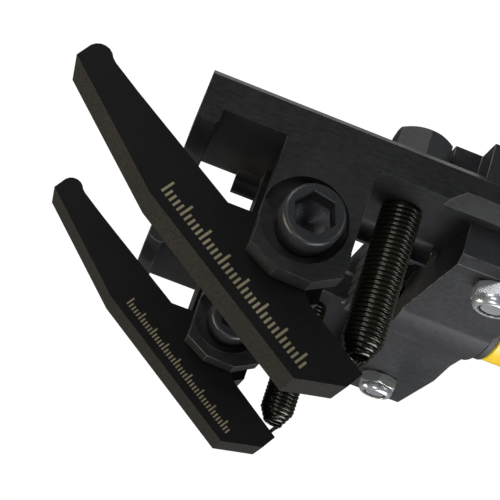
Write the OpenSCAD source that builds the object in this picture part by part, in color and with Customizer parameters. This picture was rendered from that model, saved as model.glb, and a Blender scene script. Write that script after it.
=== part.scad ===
// Hydraulic bead breaker for large multi-piece wheels: two hooked jaw bars joined by
// cross plates, a sprung hook arm in each jaw, and a cylinder screwed into the plates
// whose ram pushes the tyre bead off the rim between the jaws.
// Frame: X runs from the jaws (-X) to the cylinder's base (+X), Y across the tool from
// the near jaw (-Y) to the far jaw (+Y), Z up. The origin is on the arms' pivot axis,
// midway across the tool.

/* [Jaw bars] */
// Overall width across both jaws
tool_w = 236; // [232:1:244]
// Width of the near jaw, from its face to its back
near_jaw_w = 57.6; // [56:0.2:60]
// Width of the far jaw, from its face to its back
far_jaw_w = 77.4; // [75:0.2:80]
// Height of the bars' underside above the pivot axis
bar_z = 32.5; // [32:0.1:34]
// Thickness of the bars
bar_t = 16.5; // [16:0.5:18]
// Reach of the hooked ends in front of the pivot axis
hook_reach = 56.4; // [55:0.2:60]
// Thickness of the front cheek that carries the pivot screw's head
cheek_t = 12.6; // [12:0.2:14]

/* [Arms] */
// Thickness of each arm
arm_t = 25; // [24:0.5:26]
// Thickness of each bronze thrust washer beside an arm
thrust_t = 1.4; // [1.2:0.1:1.4]
// Diameter of the pivot screws
pivot_d = 18; // [18:1:18]
// Wall thickness of the bronze bushes
bush_wall = 2.5; // [2:0.25:3]

/* [Springs] */
// Outside diameter of the arm springs
spring_od = 18.4; // [18:0.2:19]
// Wire diameter of the arm springs
spring_wire = 2.1; // [2:0.1:2.2]
// Distance from the pivot axis to the springs
spring_x = 40.3; // [40:0.1:40.5]

/* [Cross plates] */
// Thickness of the bottom cross plate beside the near nut
plate_t = 18; // [17:0.5:20]
// Thickness of the top cross plate
top_t = 20.5; // [20:0.5:21]
// Front edge of the cross plates behind the pivot axis
plate_x = 68; // [67:0.5:70]
// Length of the cross plates along the tool
plate_len = 46; // [44:0.5:46]
// Diameter of the tie bolts
tie_d = 12; // [12:1:12]

/* [Cylinder] */
// Outside diameter of the cylinder barrel
barrel_od = 58; // [56:1:60]
// Bore of the cylinder barrel
barrel_id = 44; // [44:1:45]
// Diameter of the ram
ram_d = 28; // [28:1:28]
// Stroke of the ram
stroke = 110; // [100:5:110]

/* [Hidden] */

$fn = 64;
fit = 0.05;            // running clearance on a radius
cut = 0.5;             // how far a cutting tool reaches past a face

// Heights
bar_top = bar_z + bar_t;
axis_z = bar_z + bar_t / 2;
plate_low = bar_z - plate_t;
plate_high = bar_top + top_t;
pad_low = plate_low - 3.5;

// Places across the tool: each jaw as [front face, back face]
near_y = [-tool_w / 2, -tool_w / 2 + near_jaw_w];
far_y = [tool_w / 2 - far_jaw_w, tool_w / 2];
slot_w = arm_t + 2 * thrust_t + 0.2;
arm_gap = cheek_t + thrust_t + 0.1;
near_arm_y = near_y[0] + arm_gap;
far_arm_y = far_y[0] + arm_gap;
ram_y = (near_y[1] + far_y[0]) / 2;

// Jaw profile, measured from the pivot axis
lug_half = 19.3;
lug_right = 20.3;
lug_low = -23.5;
hook_tip_z = bar_z - 7.3;
hook_w = 9;
notch_end = 52.6;
bevel_z = 5.6;
bevel_y = 7.6;
bevel_run_out = 50;
lip_drop = 8.8;
lip_t = 2.8;
lip_r = 6;
top_chamfer = 2.8;
bore_head_d = 37;
bore_head_deep = 6.5;
bore_head_at = [-1.7, 0.3];

// Pivot screw
head_d = 26.4;
head_h = 17.5;
head_af = 16;
pivot_nut_af = 27;
pivot_nut_h = 15;
washer_t = 2.5;

// Arm profile, measured from the pivot axis
hub_r = 18.4;
nose_r = 6.2;
nose_at = [-103, 40.7];
pin_at = [36.4, -48.8];
spring_pin_r = 1.75;
slot_t = 6.4;
heel_x = [2, 15];
heel_gap = 0.15;

// Springs
spring_end_z = -36.5;
eye_r = 3.6;
anchor_d = 14;
anchor_down = 12;
anchor_af = 24;
anchor_head_h = 15.5;

// Cross plates
bar_rear = plate_x + plate_len;
tie_x = plate_x + plate_len / 2;
plate_near_y = near_y[0] + 15.2;
plate_far_y = far_y[1] - 0.5;
crown_r = 59;
crown_y = ram_y + 3;
pad_slope = [30, 52];
plate_chamfer = 3.7;
tie_near_y = (near_y[0] + near_y[1]) / 2 + 0.5;
tie_far_y = (far_y[0] + far_y[1]) / 2;
tie_places = [[tie_x, tie_near_y, plate_low], [tie_x, tie_far_y, pad_low]];
tie_af = 19;
tie_head_h = 8;
tie_nut_h = 10.6;
tie_short = 0.8;
top_plate_x = 54.7;
top_plate_y = 24.4;
top_step_x = 67.5;
top_step_y = 9.4;
pocket_deep = 17;
hoist_pitch = 120;
hoist_d = 10;
block_screw_at = [for (x = [tie_x - 11, tie_x + 11], s = [-1, 1]) [x, ram_y + s * 30]];
block_head_deep = 9;

// Ram and cylinder
guide_wall = 3;
guide_x = plate_x + 6;
collar_x = plate_x + 22;
collar_r = 21;
collar_flange = 4;
barrel_x = bar_rear + collar_flange;
gland_len = 24;
spring_room = stroke + 38;
piston_len = 22;
base_len = 20;
barrel_len = gland_len + spring_room + piston_len + base_len;
barrel_end = barrel_x + barrel_len;
piston_x = barrel_end - base_len - piston_len;
seal_w = 4;
seal_depth = 2.5;
ram_thread_d = 16;
foot_pin_x = 64;
foot_pin_d = 10;
tongue_t = 13;
foot_face_x = 49.5;
foot_t = 8;
foot_w = 62;
foot_h = 42;
groove = 2.2;
ear_t = 10;
ear_r = 7.5;
tongue_r = 8;
tongue_len = 15;

// Coupler on top of the barrel, near its base
coupler_x = barrel_end - base_len / 2;
coupler_z = axis_z + barrel_od / 2;
coupler_len = 26;
coupler_d = 17;
boss_r = 9.9;
base_hole_pitch = 25.4;

// Handle, on two clamps round the barrel
handle_d = 16;
handle_bend = 22;
handle_top = 133;
handle_x = [160, 294];
clamp_len = 24;
clamp_wall = 7;
ear_y = 42;
ear_z = 9;

steel_black = [0.13, 0.13, 0.135];
arm_black = [0.09, 0.09, 0.09];
zinc = [0.78, 0.79, 0.8];
bronze = [0.68, 0.5, 0.25];
yellow = [0.95, 0.78, 0.08];
rubber = [0.05, 0.05, 0.05];

// ---- Small shapes used by several parts ----

// Cylinder along Y from y0 to y1 at [x, z]
module rod_y(at, y0, y1, r) {
    translate([at[0], y0, at[1]]) rotate([-90, 0, 0]) cylinder(h = y1 - y0, r = r);
}

// Cylinder along X from x0 to x1 on the ram's axis
module rod_x(x0, x1, r) {
    translate([x0, ram_y, axis_z]) rotate([0, 90, 0]) cylinder(h = x1 - x0, r = r);
}

// Profile drawn in X and Z, made thick from y0 to y1
module slab_y(y0, y1) {
    translate([0, y1, 0]) rotate([90, 0, 0]) linear_extrude(y1 - y0) children();
}

// Hexagon along Z with a given distance across its flats
module hex_z(at, z0, h, af) {
    translate([at[0], at[1], z0]) cylinder(h = h, r = af / 2 / cos(30), $fn = 6);
}

// Flat washer lying on z0
module washer_z(at, z0, t, r_out, r_in) {
    translate([at[0], at[1], z0]) difference() {
        cylinder(h = t, r = r_out);
        translate([0, 0, -cut]) cylinder(h = t + 2 * cut, r = r_in);
    }
}

// ---- Jaw bars ----

// Outline of the hooked end, the recess, the clevis lug, the notch and the bar
module jaw_profile(end_x) {
    hook_in = -hook_reach + hook_w;
    polygon([[-hook_reach, bar_top], [-hook_reach, bar_z - 4.9],
        [-hook_reach + 3.6, hook_tip_z + 0.5], [-hook_reach + 6.4, hook_tip_z],
        [-hook_reach + 7.8, hook_tip_z + 0.3], [hook_in, hook_tip_z + 1.7],
        [hook_in, bar_z], [-lug_half, bar_z], [-lug_half, -16.4], [-6.8, -22.9],
        [8.6, lug_low], [lug_right - 0.1, -17], [lug_right, bar_z - 4.5],
        for (a = [150:-20:90]) [lug_right + 4.5 + 4.5 * cos(a), bar_z - 4.5 + 4.5 * sin(a)],
        [end_x, bar_z], [end_x, bar_top]]);
}

// Bevel along the lower front edge behind the notch, which runs out on a slope
module front_bevel(y_front) {
    slope = bevel_z / bevel_y;
    difference() {
        translate([notch_end - cut, 0, 0]) rotate([90, 0, 90])
            linear_extrude(bar_rear - notch_end + 2 * cut)
            polygon([[y_front - cut, bar_z + bevel_z + cut * slope], [y_front - cut, bar_z - cut],
                [y_front + bevel_y + cut / slope, bar_z - cut]]);
        translate([notch_end, y_front - 2, bar_z]) rotate([0, bevel_run_out, 0])
            translate([-40, 0, -20]) cube([40, bevel_y + 4, 60]);
    }
}

// Lip along the back edge of the near bar's underside, with a concave root
module back_lip(x0, x1, y_back) {
    translate([x0, 0, 0]) rotate([90, 0, 90]) linear_extrude(x1 - x0) difference() {
        polygon([[y_back - lip_t - lip_r, bar_z - lip_drop], [y_back, bar_z - lip_drop],
            [y_back, bar_z + cut], [y_back - lip_t - lip_r, bar_z + cut]]);
        translate([y_back - lip_t - lip_r, bar_z - lip_r]) circle(r = lip_r);
        translate([y_back - lip_t - 2 * lip_r, bar_z - lip_drop - cut])
            square([2 * lip_r, lip_drop - lip_r + cut]);
    }
}

// Slot for the arm and its thrust washers, open at the front, below and behind
module arm_slot(y0) {
    translate([-lug_half - 20, y0, lug_low - 5])
        cube([lug_right + lug_half + 40, slot_w, bar_z - lug_low + 5]);
}

// Counterbored pivot hole through both cheeks
module pivot_hole(y) {
    rod_y([0, 0], y[0] - cut, y[1] + cut, pivot_d / 2 + 0.25);
    rod_y(bore_head_at, y[0] - cut, y[0] + bore_head_deep, bore_head_d / 2);
}

// Vertical holes for the tie bolt and the spring anchor
module bar_holes(y_tie, y_spring) {
    translate([tie_x, y_tie, bar_z - cut]) cylinder(h = bar_t + 2 * cut, r = tie_d / 2 + 0.25);
    translate([spring_x, y_spring, bar_z - cut])
        cylinder(h = bar_t + 2 * cut, r = anchor_d / 2);
}

// One whole jaw bar
module jaw_bar(y, y_spring, y_tie, has_lip) {
    difference() {
        union() {
            slab_y(y[0], y[1]) jaw_profile(bar_rear);
            if (has_lip) {
                back_lip(-lug_half - 11, -lug_half + cut, y[1]);
                back_lip(lug_right - cut, plate_x - 4, y[1]);
            }
        }
        front_bevel(y[0]);
        arm_slot(y[0] + cheek_t);
        pivot_hole(y);
        bar_holes(y_tie, y_spring);
        translate([0, y[0], bar_top]) rotate([45, 0, 0])
            cube([900, top_chamfer * sqrt(2), top_chamfer * sqrt(2)], center = true);
    }
}

module near_jaw_bar() {
    color(steel_black) jaw_bar(near_y, near_arm_y + arm_t / 2, tie_near_y, true);
}

module far_jaw_bar() {
    color(steel_black) jaw_bar(far_y, far_arm_y + arm_t / 2, tie_far_y, false);
}

// ---- Hook arms and what turns with them ----

// Outline of the arm: hooked nose, straight bar below the pivot, tail
module arm_profile() {
    polygon([[-63.1, -7.4], [15.7, -58.7], [37.2, -54.3], [41.8, -47.1], [13, -27.6],
        [-10, 1], [-32.2, 1], [-82.7, 32.7], [-95.4, 41.1],
        for (a = [20:20:140]) nose_at + nose_r * [cos(a), sin(a)],
        [-111.6, 38.1]]);
    circle(r = hub_r);
    // heel that meets the bar and stops the arm when it is fully open
    translate([heel_x[0], 0]) square([heel_x[1] - heel_x[0], bar_z - heel_gap]);
}

module arm(y0) {
    color(arm_black) difference() {
        slab_y(y0, y0 + arm_t) arm_profile();
        rod_y([0, 0], y0 - cut, y0 + arm_t + cut, pivot_d / 2 + bush_wall);
        // slot in the tail for the spring's end loop
        translate([pin_at[0] - 7.5, y0 + (arm_t - slot_t) / 2, pin_at[1] - eye_r - 0.4])
            cube([20, slot_t, 20]);
        rod_y(pin_at, y0 + 4, y0 + arm_t + cut, spring_pin_r);
    }
}

module near_arm() { arm(near_arm_y); }
module far_arm() { arm(far_arm_y); }

// Plain bronze bush pressed into the arm's hub
module pivot_bush(y0) {
    color(bronze) difference() {
        rod_y([0, 0], y0, y0 + arm_t, pivot_d / 2 + bush_wall);
        rod_y([0, 0], y0 - cut, y0 + arm_t + cut, pivot_d / 2 + fit);
    }
}

module near_pivot_bush() { pivot_bush(near_arm_y); }
module far_pivot_bush() { pivot_bush(far_arm_y); }

// Pair of bronze washers between the arm and the clevis cheeks
module thrust_washers(y0) {
    color(bronze) for (y = [y0 - thrust_t, y0 + arm_t]) difference() {
        rod_y([0, 0], y, y + thrust_t, hub_r - 1);
        rod_y([0, 0], y - cut, y + thrust_t + cut, pivot_d / 2 + 0.15);
    }
}

module near_thrust_washers() { thrust_washers(near_arm_y); }
module far_thrust_washers() { thrust_washers(far_arm_y); }

// Cross pin in the arm's tail that holds the spring's end loop
module spring_pin(y0) {
    color(zinc) rod_y(pin_at, y0 + 4, y0 + arm_t, spring_pin_r);
}

module near_spring_pin() { spring_pin(near_arm_y); }
module far_spring_pin() { spring_pin(far_arm_y); }

// ---- Pivot screws ----

// Socket head screw: head in the counterbore, shank through both cheeks
module pivot_screw(y) {
    seat = y[0] + bore_head_deep;
    color(steel_black) difference() {
        union() {
            rod_y([0, 0], seat - head_h, seat, head_d / 2);
            rod_y([0, 0], seat - 0.1, y[1] + washer_t + pivot_nut_h + 2, pivot_d / 2);
        }
        translate([0, seat - head_h - cut, 0]) rotate([-90, 10.5, 0])
            cylinder(h = 9 + cut, r = head_af / 2 / cos(30), $fn = 6);
    }
}

module near_pivot_screw() { pivot_screw(near_y); }
module far_pivot_screw() { pivot_screw(far_y); }

module pivot_nut_washers() {
    color(zinc) for (y = [near_y[1], far_y[1]]) difference() {
        rod_y([0, 0], y, y + washer_t, 17);
        rod_y([0, 0], y - cut, y + washer_t + cut, pivot_d / 2 + 0.4);
    }
}

module pivot_nuts() {
    color(zinc) for (y = [near_y[1], far_y[1]]) difference() {
        translate([0, y + washer_t, 0]) rotate([-90, 0, 0])
            cylinder(h = pivot_nut_h, r = pivot_nut_af / 2 / cos(30), $fn = 6);
        rod_y([0, 0], y + washer_t - cut, y + washer_t + pivot_nut_h + cut, pivot_d / 2);
    }
}

// ---- Arm springs ----

// Closed-coil body as a sleeve, with the end loop as a flat eye round the pin
module arm_spring(y0) {
    y_mid = y0 + arm_t / 2;
    color(steel_black) {
        translate([spring_x, y_mid, spring_end_z]) difference() {
            cylinder(h = bar_z - spring_end_z - 0.4, r = spring_od / 2);
            translate([0, 0, spring_wire])
                cylinder(h = bar_z - spring_end_z, r = spring_od / 2 - spring_wire);
        }
        difference() {
            union() {
                rod_y(pin_at, y_mid - spring_wire / 2, y_mid + spring_wire / 2, eye_r);
                translate([pin_at[0] - 3, y_mid - spring_wire / 2, pin_at[1]])
                    cube([6, spring_wire, spring_end_z - pin_at[1] + spring_wire / 2]);
            }
            rod_y(pin_at, y_mid - 5, y_mid + 5, spring_pin_r + 0.25);
        }
    }
}

module near_arm_spring() { arm_spring(near_arm_y); }
module far_arm_spring() { arm_spring(far_arm_y); }

// Hex bolt through the bar whose lower end fills the top coils of the spring
module anchor_bolt(y0) {
    at = [spring_x, y0 + arm_t / 2];
    color(steel_black) {
        hex_z(at, bar_top + washer_t, anchor_head_h, anchor_af);
        translate([at[0], at[1], bar_z - anchor_down])
            cylinder(h = bar_t + anchor_down + washer_t + 0.1, r = anchor_d / 2);
    }
}

module near_anchor_bolt() { anchor_bolt(near_arm_y); }
module far_anchor_bolt() { anchor_bolt(far_arm_y); }

module anchor_washers() {
    color(zinc) for (y0 = [near_arm_y, far_arm_y])
        washer_z([spring_x, y0 + arm_t / 2], bar_top, washer_t, 13.4, anchor_d / 2 + 0.3);
}

// ---- Cross plates ----

// Bore for the ram's guide bush, and the tapped bore for the cylinder's collar behind it
module guide_seat(x0) {
    rod_x(x0 - cut, collar_x + cut, ram_d / 2 + guide_wall + 0.1);
    rod_x(collar_x, plate_x + plate_len + cut, collar_r + fit);
}

// Holes for the screws that hold the centre block to the top plate
module block_screw_holes(z0, z1, r) {
    for (at = block_screw_at) translate([at[0], at[1], z0]) cylinder(h = z1 - z0, r = r);
}

module tie_holes(z0, t) {
    for (at = tie_places) translate([at[0], at[1], z0 - cut])
        cylinder(h = t + 2 * cut, r = tie_d / 2 + 0.25);
}

// Plate across the top of both bars, with a pocket for the foot and room for the near bolt
module top_plate() {
    color(steel_black) difference() {
        translate([0, 0, bar_top]) linear_extrude(top_t) difference() {
            union() {
                translate([top_plate_x, near_y[0] + top_plate_y])
                    square([bar_rear - top_plate_x, tool_w - top_plate_y - 2]);
                translate([top_step_x, near_y[0] + top_step_y])
                    square([bar_rear - top_step_x, top_plate_y]);
            }
            translate([top_plate_x - cut, near_y[1] + 6])
                square([pocket_deep + cut, far_y[0] - near_y[1] - 12]);
        }
        guide_seat(top_plate_x);
        tie_holes(bar_top, top_t);
        block_screw_holes(bar_top - cut, plate_high + cut, 4.3);
        block_screw_holes(plate_high - block_head_deep, plate_high + cut, 6.8);
        for (s = [-1, 1]) translate([tie_x, ram_y + s * hoist_pitch / 2, bar_top - cut])
            cylinder(h = top_t + 2 * cut, r = hoist_d / 2);
    }
}

// Plate across the underside of both bars: chamfered lower outer edges, a shallow crown under
// the ram, and a thicker pad at the far bar
module bottom_plate() {
    c = plate_chamfer;
    color(steel_black) difference() {
        translate([plate_x, 0, 0]) rotate([90, 0, 90]) linear_extrude(plate_len) {
            polygon([[plate_near_y, bar_z], [plate_near_y, plate_low + c],
                [plate_near_y + c, plate_low], [pad_slope[0], plate_low], [pad_slope[1], pad_low],
                [plate_far_y - c, pad_low], [plate_far_y, pad_low + c], [plate_far_y, bar_z]]);
            intersection() {
                translate([crown_y, pad_low + crown_r]) circle(r = crown_r, $fn = 180);
                translate([crown_y - 30, pad_low - 1]) square([60, bar_z - pad_low]);
            }
        }
        guide_seat(plate_x);
        tie_holes(pad_low, bar_z - pad_low);
    }
}

// Block between the bars, bored with the plates for the bush and the cylinder's collar
module centre_block() {
    color(steel_black) difference() {
        translate([guide_x, near_y[1] + fit, bar_z])
            cube([bar_rear - guide_x, far_y[0] - near_y[1] - 2 * fit, bar_t]);
        guide_seat(plate_x);
        block_screw_holes(bar_z + 3.5, bar_top + cut, 4);
    }
}

// Four socket screws, sunk in the top plate, that hold the centre block up to it
module block_screws() {
    color(steel_black) for (at = block_screw_at)
        translate([at[0], at[1], plate_high - block_head_deep]) difference() {
            union() {
                cylinder(h = 8, r = 6.5);
                translate([0, 0, bar_z + 4.5 - plate_high + block_head_deep])
                    cylinder(h = plate_high - block_head_deep - bar_z - 4.4, r = 4);
            }
            translate([0, 0, 4]) cylinder(h = 5, r = 3 / cos(30), $fn = 6);
        }
}

// ---- Tie bolts, washers and self-locking nuts ----

module tie_bolts() {
    color(zinc) for (at = tie_places) {
        end_z = at[2] - tie_nut_h + tie_short;
        hex_z(at, plate_high + washer_t, tie_head_h, tie_af);
        translate([at[0], at[1], end_z])
            cylinder(h = plate_high + washer_t - end_z + 0.1, r = tie_d / 2);
    }
}

module tie_bolt_washers() {
    color(zinc) for (at = tie_places)
        washer_z(at, plate_high, washer_t, 12, tie_d / 2 + 0.5);
}

module tie_nuts() {
    color(zinc) for (at = tie_places) difference() {
        hex_z(at, at[2] - tie_nut_h, tie_nut_h, tie_af);
        translate([at[0], at[1], at[2] - tie_nut_h - cut])
            cylinder(h = tie_nut_h + 2 * cut, r = tie_d / 2);
    }
}

// ---- Ram guide and cylinder body ----

module ram_guide_bush() {
    color(bronze) difference() {
        rod_x(guide_x, collar_x, ram_d / 2 + guide_wall);
        rod_x(guide_x - cut, collar_x + cut, ram_d / 2 + fit);
    }
}

module cylinder_barrel() {
    color(yellow) difference() {
        union() {
            rod_x(barrel_x, barrel_end, barrel_od / 2);
            // welded boss for the oil port
            translate([coupler_x, ram_y, axis_z + 20])
                cylinder(h = barrel_od / 2 - 20, r = boss_r);
        }
        rod_x(barrel_x - cut, barrel_end + cut, barrel_id / 2);
        translate([coupler_x, ram_y, axis_z]) cylinder(h = barrel_od, r = 5);
    }
}

// Gland in the barrel's mouth, with the threaded collar that screws into the plates
module barrel_gland() {
    color(steel_black) difference() {
        union() {
            rod_x(collar_x, barrel_x, collar_r);
            rod_x(bar_rear, barrel_x, barrel_od / 2 + 0.7);
            rod_x(barrel_x - 0.1, barrel_x + gland_len, barrel_id / 2);
        }
        rod_x(collar_x - cut, barrel_x + gland_len + cut, ram_d / 2 + fit);
        rod_x(barrel_x + 8, barrel_x + 8 + seal_w, ram_d / 2 + seal_depth);
    }
}

module gland_seal() {
    color(rubber) difference() {
        rod_x(barrel_x + 8, barrel_x + 8 + seal_w, ram_d / 2 + seal_depth);
        rod_x(barrel_x + 7, barrel_x + 9 + seal_w, ram_d / 2 + fit);
    }
}

module barrel_base() {
    color(steel_black) difference() {
        rod_x(barrel_end - base_len, barrel_end, barrel_id / 2);
        translate([coupler_x, ram_y, axis_z]) cylinder(h = barrel_od, r = 5);
        rod_x(barrel_end - base_len - cut, coupler_x, 4);
        // tapped holes in the base, for fastening the tool to a stand
        for (s = [-1, 1]) translate([barrel_end - 9, ram_y + s * base_hole_pitch / 2, axis_z])
            rotate([0, 90, 0]) cylinder(h = 9 + cut, r = 4);
    }
}

// ---- Ram, piston and push foot ----

// Ram with a flat tongue for the foot pin and a threaded tail for the piston
module ram() {
    color(zinc) difference() {
        union() {
            rod_x(foot_pin_x, piston_x, ram_d / 2);
            rod_y([foot_pin_x, axis_z], ram_y - tongue_t / 2, ram_y + tongue_t / 2, tongue_r);
            rod_x(piston_x - 0.1, piston_x + piston_len - 2, ram_thread_d / 2);
        }
        for (y = [ram_y - tongue_t / 2 - 20, ram_y + tongue_t / 2])
            translate([foot_pin_x - 20, y, axis_z - 20]) cube([20 + tongue_len, 20, 40]);
        rod_y([foot_pin_x, axis_z], ram_y - 20, ram_y + 20, foot_pin_d / 2);
    }
}

module piston() {
    color(steel_black) difference() {
        rod_x(piston_x, piston_x + piston_len - 8, barrel_id / 2 - fit);
        rod_x(piston_x - cut, piston_x + piston_len, ram_thread_d / 2);
        difference() {
            rod_x(piston_x + 5, piston_x + 5 + seal_w, barrel_id / 2 + cut);
            rod_x(piston_x + 4, piston_x + 6 + seal_w, barrel_id / 2 - seal_depth);
        }
    }
}

module piston_seal() {
    color(rubber) difference() {
        rod_x(piston_x + 5, piston_x + 5 + seal_w, barrel_id / 2 - fit);
        rod_x(piston_x + 4, piston_x + 6 + seal_w, barrel_id / 2 - seal_depth);
    }
}

module piston_nut() {
    color(steel_black) difference() {
        translate([piston_x + piston_len - 8, ram_y, axis_z]) rotate([0, 90, 0])
            cylinder(h = 6, r = 12 / cos(30), $fn = 6);
        rod_x(piston_x, piston_x + piston_len, ram_thread_d / 2);
    }
}

// Compression spring between the gland and the piston, as a sleeve
module return_spring() {
    color(steel_black) difference() {
        rod_x(barrel_x + gland_len, piston_x, barrel_id / 2 - 1);
        rod_x(barrel_x + gland_len - cut, piston_x + cut, barrel_id / 2 - 5);
    }
}

// Foot that presses on the tyre bead, with two ears for its pin
module push_foot() {
    color(steel_black) difference() {
        union() {
            translate([foot_face_x, ram_y - foot_w / 2, axis_z - foot_h / 2])
                cube([foot_t, foot_w, foot_h]);
            for (s = [-1, 1]) {
                y_ear = ram_y + s * (tongue_t / 2 + 0.3 + ear_t / 2);
                rod_y([foot_pin_x, axis_z], y_ear - ear_t / 2, y_ear + ear_t / 2, ear_r);
                translate([foot_face_x + 1, y_ear - ear_t / 2, axis_z - ear_r])
                    cube([foot_pin_x - foot_face_x - 1, ear_t, 2 * ear_r]);
            }
        }
        rod_y([foot_pin_x, axis_z], ram_y - 40, ram_y + 40, foot_pin_d / 2 + fit);
        // grooves that keep the foot from slipping on the bead
        for (z = [-14:7:14]) translate([foot_face_x, ram_y, axis_z + z]) rotate([0, 45, 0])
            cube([groove, foot_w + 2 * cut, groove], center = true);
        rod_y([foot_pin_x, axis_z], ram_y - tongue_t / 2 - 0.3, ram_y + tongue_t / 2 + 0.3,
            tongue_r + 0.4);
    }
}

module foot_pin() {
    color(zinc) rod_y([foot_pin_x, axis_z], ram_y - tongue_t / 2 - ear_t,
        ram_y + tongue_t / 2 + ear_t, foot_pin_d / 2);
}

// ---- Oil coupler ----

module coupler_nipple() {
    color(zinc) translate([coupler_x, ram_y, 0]) difference() {
        union() {
            translate([0, 0, coupler_z - 9]) cylinder(h = 12, r = 5);
            hex_z([0, 0], coupler_z, 8, 19);
            translate([0, 0, coupler_z + 7.9]) cylinder(h = coupler_len, r = coupler_d / 2);
            translate([0, 0, coupler_z + 28]) cylinder(h = 2.5, r = coupler_d / 2 + 2);
        }
        translate([0, 0, coupler_z - 10]) cylinder(h = 60, r = 2.5);
    }
}

module coupler_ring() {
    color(zinc) translate([coupler_x, ram_y, coupler_z + 9]) difference() {
        cylinder(h = 18, r = 14);
        translate([0, 0, -cut]) cylinder(h = 19, r = coupler_d / 2 + fit);
    }
}

module dust_cap() {
    color(rubber) translate([coupler_x, ram_y, coupler_z + 30.8]) difference() {
        cylinder(h = 9, r = 12);
        translate([0, 0, -cut]) cylinder(h = 4 + cut, r = coupler_d / 2 + 0.3);
    }
}

// ---- Carry handle ----

// Quarter bend in the X-Z plane, side 0 towards -X and side 1 towards +X
module handle_corner(x, side) {
    translate([x, ram_y, handle_top - handle_bend]) mirror([side, 0, 0]) rotate([90, 0, 0])
        rotate([0, 0, 90]) rotate_extrude(angle = 90)
            translate([handle_bend, 0]) circle(r = handle_d / 2);
}

// Half ring with two ears round the barrel at x, from the joint's face z0 up or down
module clamp_body(x, upper) {
    z0 = upper ? axis_z + 1 : axis_z - 1;
    difference() {
        rod_x(x - clamp_len / 2, x + clamp_len / 2, barrel_od / 2 + clamp_wall);
        translate([x - 50, ram_y - 50, upper ? z0 - 99 : z0]) cube([100, 100, 99]);
    }
    for (s = [-1, 1])
        translate([x - clamp_len / 2, ram_y + s * ear_y - (s < 0 ? 8 : 16),
                upper ? z0 : axis_z - ear_z])
            cube([clamp_len, 24, ear_z - 1]);
}

module clamp_bore(x) {
    rod_x(x - clamp_len, x + clamp_len, barrel_od / 2 + fit);
}

// Holes for the clamp's screws through the ears
module clamp_screw_holes(x, r) {
    for (s = [-1, 1]) translate([x, ram_y + s * ear_y, axis_z - 20]) cylinder(h = 40, r = r);
}

// Round bar bent to a bridge over the cylinder, with the upper half of a clamp at each foot
module carry_handle() {
    low = handle_top - handle_bend;
    color(steel_black) difference() {
        union() {
            for (x = handle_x) {
                translate([x, ram_y, axis_z]) cylinder(h = low - axis_z, r = handle_d / 2);
                clamp_body(x, true);
            }
            translate([handle_x[0] + handle_bend, ram_y, handle_top]) rotate([0, 90, 0])
                cylinder(h = handle_x[1] - handle_x[0] - 2 * handle_bend, r = handle_d / 2);
            handle_corner(handle_x[0] + handle_bend, 0);
            handle_corner(handle_x[1] - handle_bend, 1);
        }
        for (x = handle_x) {
            clamp_bore(x);
            clamp_screw_holes(x, 3.3);
        }
    }
}

module handle_grip() {
    mid = (handle_x[0] + handle_x[1]) / 2;
    color(rubber) translate([mid - 44, ram_y, handle_top]) rotate([0, 90, 0]) difference() {
        cylinder(h = 88, r = handle_d / 2 + 3.5);
        translate([0, 0, -cut]) cylinder(h = 88 + 2 * cut, r = handle_d / 2);
    }
}

// Lower halves of the two clamps
module clamp_halves() {
    color(steel_black) for (x = handle_x) difference() {
        clamp_body(x, false);
        clamp_bore(x);
        clamp_screw_holes(x, 3);
    }
}

module clamp_screws() {
    color(zinc) for (x = handle_x, s = [-1, 1])
        translate([x, ram_y + s * ear_y, axis_z + ear_z]) difference() {
            union() {
                cylinder(h = 6, r = 5);
                translate([0, 0, -2 * ear_z - 2]) cylinder(h = 2 * ear_z + 3, r = 3);
            }
            translate([0, 0, 3]) cylinder(h = 4, r = 5 / 2 / cos(30), $fn = 6);
        }
}

near_jaw_bar();
far_jaw_bar();
near_arm();
far_arm();
near_pivot_bush();
far_pivot_bush();
near_thrust_washers();
far_thrust_washers();
near_pivot_screw();
far_pivot_screw();
pivot_nut_washers();
pivot_nuts();
near_arm_spring();
far_arm_spring();
near_spring_pin();
far_spring_pin();
near_anchor_bolt();
far_anchor_bolt();
anchor_washers();
top_plate();
bottom_plate();
centre_block();
block_screws();
tie_bolts();
tie_bolt_washers();
tie_nuts();
ram_guide_bush();
cylinder_barrel();
barrel_gland();
gland_seal();
barrel_base();
ram();
piston();
piston_seal();
piston_nut();
return_spring();
push_foot();
foot_pin();
coupler_nipple();
coupler_ring();
dust_cap();
carry_handle();
handle_grip();
clamp_halves();
clamp_screws();
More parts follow.
